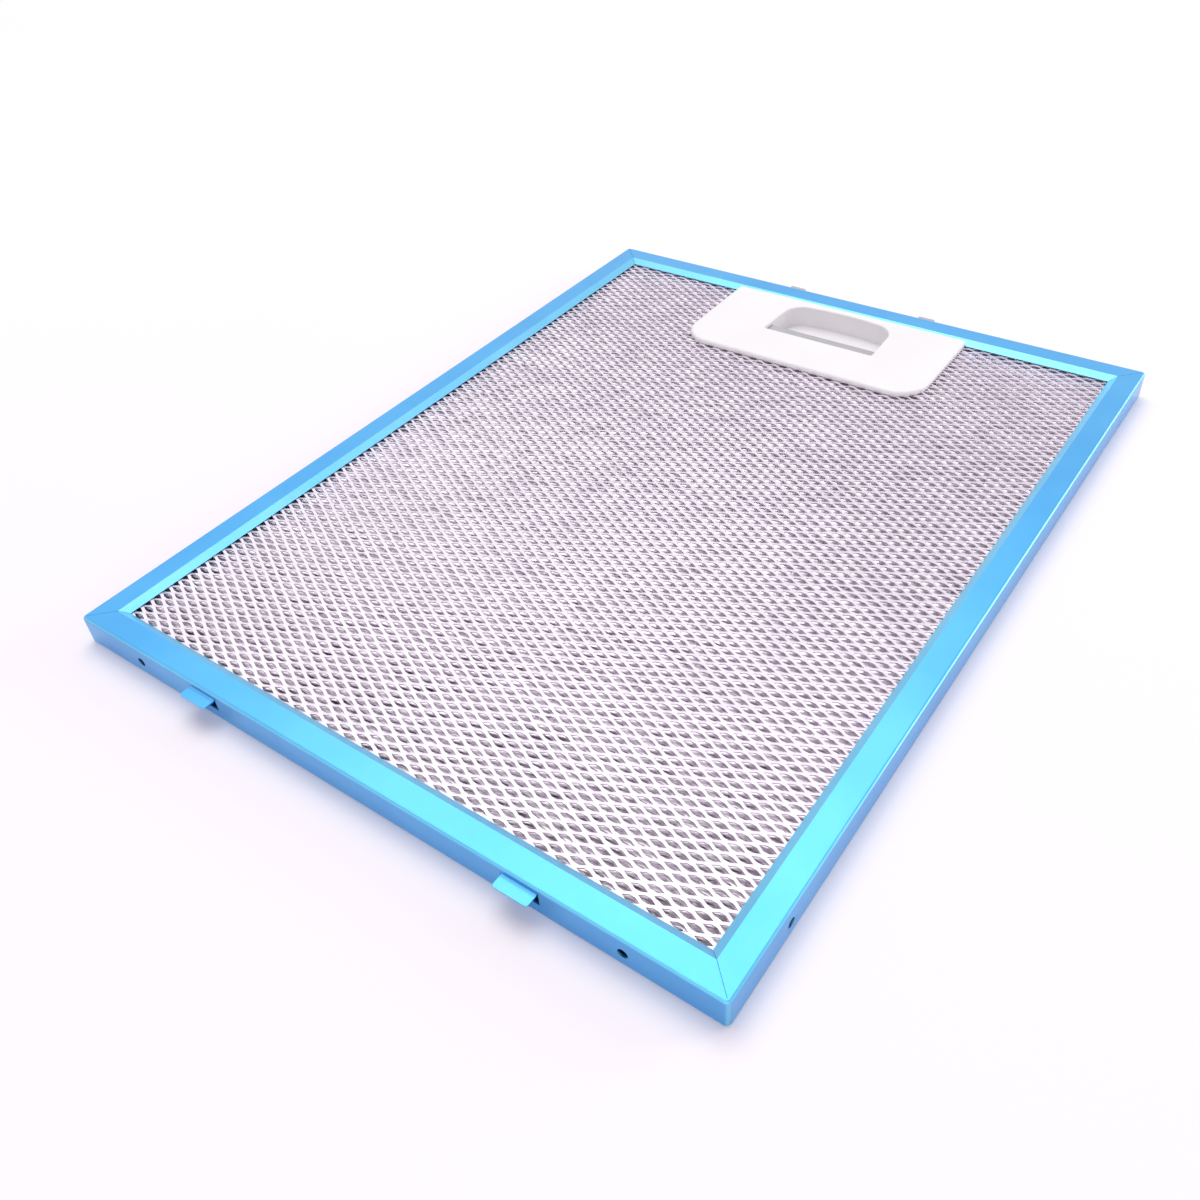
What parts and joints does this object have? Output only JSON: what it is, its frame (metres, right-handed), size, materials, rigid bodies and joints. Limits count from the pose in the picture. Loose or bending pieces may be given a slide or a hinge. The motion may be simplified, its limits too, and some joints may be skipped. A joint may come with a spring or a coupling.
{
  "type": "cooker hood grease filter",
  "caption": "Flat rectangular cooker hood grease filter: folded channel frame round an expanded mesh pack, with a finger handle that draws back its sprung latch.",
  "frame": {"origin": "middle of the underside, on the plane that the filter lies on", "axes": "+X across the filter, +Y from the tongue edge to the handle edge, +Z out of the face that carries the handle"},
  "size_m": [0.25, 0.3314, 0.011],
  "materials": {
    "blue_aluminium": "satin, blue film",
    "mesh_aluminium": "bright, bare",
    "white_plastic": "smooth, moulded",
    "grey_plastic": "smooth, moulded",
    "spring_steel": "bare strip"
  },
  "bodies": {
    "filter": {"frame": "blue_aluminium", "front_mesh": "mesh_aluminium", "inner_mesh_1": "mesh_aluminium", "inner_mesh_2": "mesh_aluminium", "inner_mesh_3": "mesh_aluminium", "back_mesh": "mesh_aluminium", "handle_cover": "white_plastic", "handle_base": "white_plastic", "latch_spring": "spring_steel"},
    "latch": {"latch_slider": "grey_plastic"}
  },
  "joints": [
    {"name": "latch_slide", "type": "slide", "parent": "filter", "child": "latch", "axis": [0, -1, 0], "range_m": [0, 0.005], "stiffness_N_per_m": 400, "springref_m": -0.006, "deforming": ["latch_spring"]}
  ]
}
